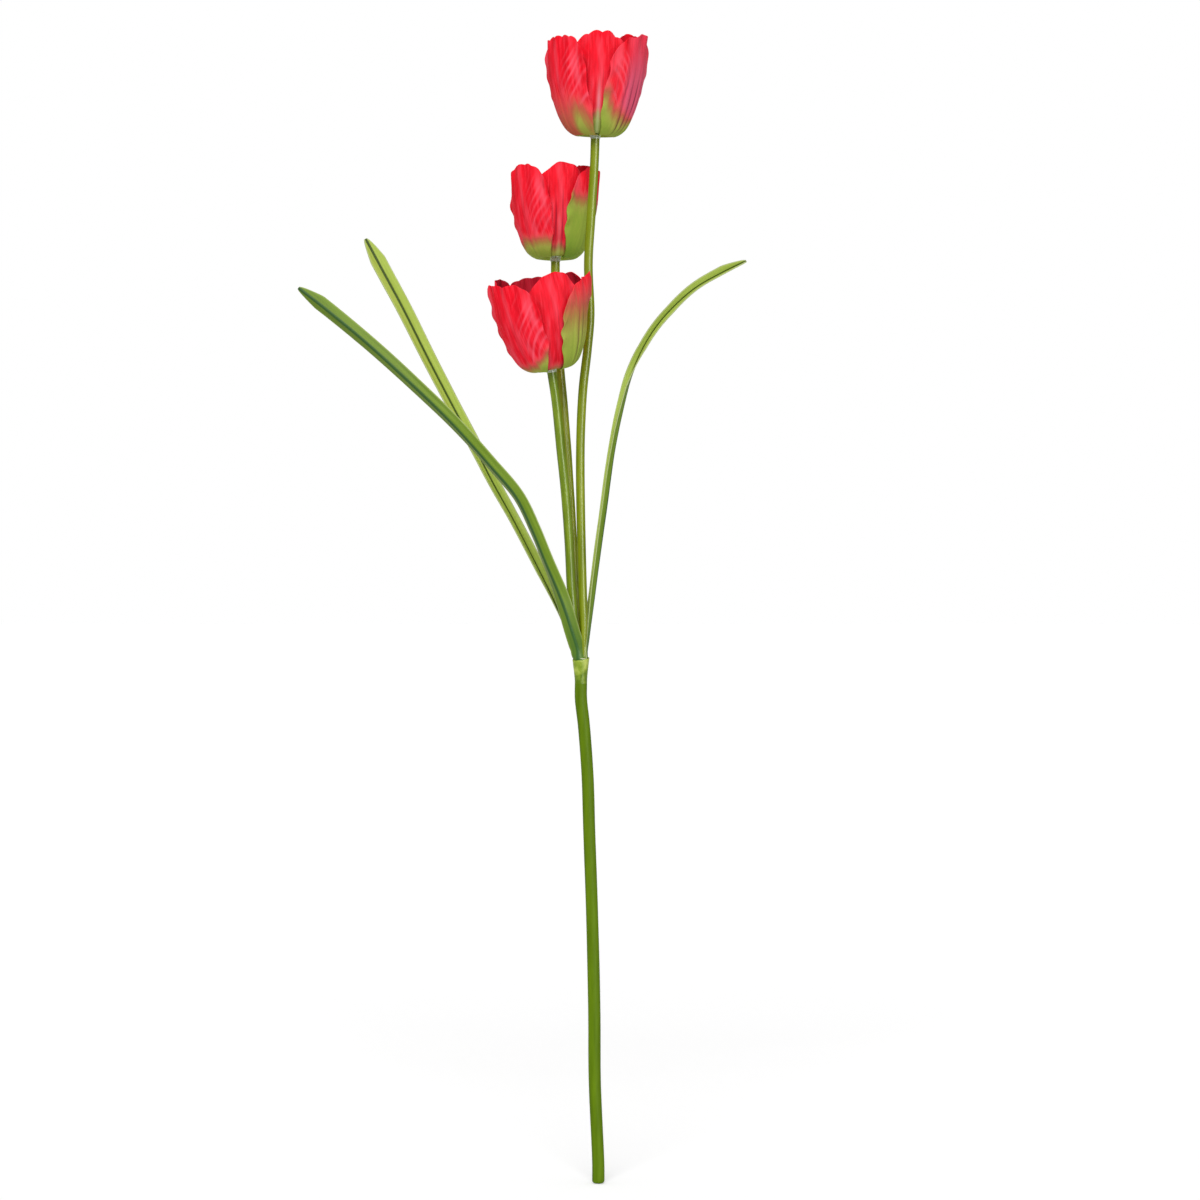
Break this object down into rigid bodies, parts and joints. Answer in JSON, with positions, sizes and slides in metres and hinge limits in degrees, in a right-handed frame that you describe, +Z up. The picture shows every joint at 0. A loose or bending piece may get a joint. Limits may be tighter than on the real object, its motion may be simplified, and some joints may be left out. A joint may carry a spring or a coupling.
{
  "type": "artificial tulip spray",
  "caption": "Artificial tulip spray: red and green cloth flower heads and folded strap leaves on bendable, plastic-coated wire stems.",
  "frame": {"origin": "centre of the flat foot of the main stem", "axes": "+Z up along the main stem from its foot, -Y towards the viewer of the picture, +X to the viewer's right"},
  "size_m": [0.2897, 0.1251, 0.7468],
  "materials": {
    "stem_coat": "satin",
    "branch_coat": "gloss",
    "socket_plastic": "satin",
    "glue": "gloss",
    "wire_steel": "drawn",
    "clear_plastic": "clear",
    "receptacle_plastic": "matte",
    "pistil_plastic": "matte",
    "stamen_plastic": "matte",
    "petal_cloth": "printed satin weave",
    "leaf_plastic": "satin"
  },
  "bodies": {
    "stem": {"main_stem": "stem_coat", "main_wire": "wire_steel", "branch_socket": "socket_plastic", "glue_plug": "glue", "upper_wire_tail": "wire_steel", "middle_wire_tail": "wire_steel", "lower_wire_tail": "wire_steel"},
    "upper_branch": {"upper_branch_stem": "branch_coat", "upper_branch_wire": "wire_steel", "upper_clear_collar": "clear_plastic"},
    "upper_head": {"upper_receptacle": "receptacle_plastic", "upper_pistil": "pistil_plastic", "upper_stamens": "stamen_plastic", "upper_outer_petal_left": "petal_cloth", "upper_outer_petal_right": "petal_cloth", "upper_outer_petal_back": "petal_cloth", "upper_inner_petal_front": "petal_cloth", "upper_inner_petal_right": "petal_cloth", "upper_inner_petal_left": "petal_cloth"},
    "middle_branch": {"middle_branch_stem": "branch_coat", "middle_branch_wire": "wire_steel", "middle_clear_collar": "clear_plastic"},
    "middle_head": {"middle_receptacle": "receptacle_plastic", "middle_pistil": "pistil_plastic", "middle_stamens": "stamen_plastic", "middle_outer_petal_left": "petal_cloth", "middle_outer_petal_right": "petal_cloth", "middle_outer_petal_back": "petal_cloth", "middle_inner_petal_front": "petal_cloth", "middle_inner_petal_right": "petal_cloth", "middle_inner_petal_left": "petal_cloth"},
    "lower_branch": {"lower_branch_stem": "branch_coat", "lower_branch_wire": "wire_steel", "lower_clear_collar": "clear_plastic"},
    "lower_head": {"lower_receptacle": "receptacle_plastic", "lower_pistil": "pistil_plastic", "lower_stamens": "stamen_plastic", "lower_outer_petal_left": "petal_cloth", "lower_outer_petal_right": "petal_cloth", "lower_outer_petal_back": "petal_cloth", "lower_inner_petal_front": "petal_cloth", "lower_inner_petal_right": "petal_cloth", "lower_inner_petal_left": "petal_cloth"},
    "front_leaf": {"front_leaf": "leaf_plastic"},
    "back_leaf": {"back_leaf": "leaf_plastic"},
    "right_leaf": {"right_leaf": "leaf_plastic"}
  },
  "joints": [
    {"name": "upper_branch_bend", "type": "hinge", "parent": "stem", "child": "upper_branch", "pos_m": [-0.00949, -0.00104, 0.34308], "axis": [0.7071, 0.7071, 0], "range_deg": [0, 40]},
    {"name": "upper_head_turn", "type": "hinge", "parent": "upper_branch", "child": "upper_head", "pos_m": [-0.00199, 0.00116, 0.68122], "axis": [0.0315, -0.0525, 0.9981], "continuous": true},
    {"name": "middle_branch_bend", "type": "hinge", "parent": "stem", "child": "middle_branch", "pos_m": [-0.01129, 0.00208, 0.34308], "axis": [-0.9962, 0.0872, 0], "range_deg": [0, 35]},
    {"name": "middle_head_turn", "type": "hinge", "parent": "middle_branch", "child": "middle_head", "pos_m": [-0.0283, 0.035, 0.60427], "axis": [0, 0.0272, 0.9996], "continuous": true},
    {"name": "lower_branch_bend", "type": "hinge", "parent": "stem", "child": "lower_branch", "pos_m": [-0.01309, -0.00104, 0.34308], "axis": [-0.2588, -0.9659, 0], "range_deg": [0, 15]},
    {"name": "lower_head_turn", "type": "hinge", "parent": "lower_branch", "child": "lower_head", "pos_m": [-0.03049, -0.02064, 0.5281], "axis": [-0.1446, -0.1399, 0.9795], "continuous": true},
    {"name": "front_leaf_bend", "type": "hinge", "parent": "stem", "child": "front_leaf", "pos_m": [-0.01331, -0.00433, 0.34178], "axis": [0.9063, -0.4226, 0], "range_deg": [-5, 50]},
    {"name": "back_leaf_bend", "type": "hinge", "parent": "stem", "child": "back_leaf", "pos_m": [-0.01473, 0.00332, 0.34178], "axis": [-0.6428, -0.766, 0], "range_deg": [-5, 50]},
    {"name": "right_leaf_bend", "type": "hinge", "parent": "stem", "child": "right_leaf", "pos_m": [-0.00692, 0.00194, 0.34178], "axis": [-0.342, 0.9397, 0], "range_deg": [0, 45]}
  ]
}
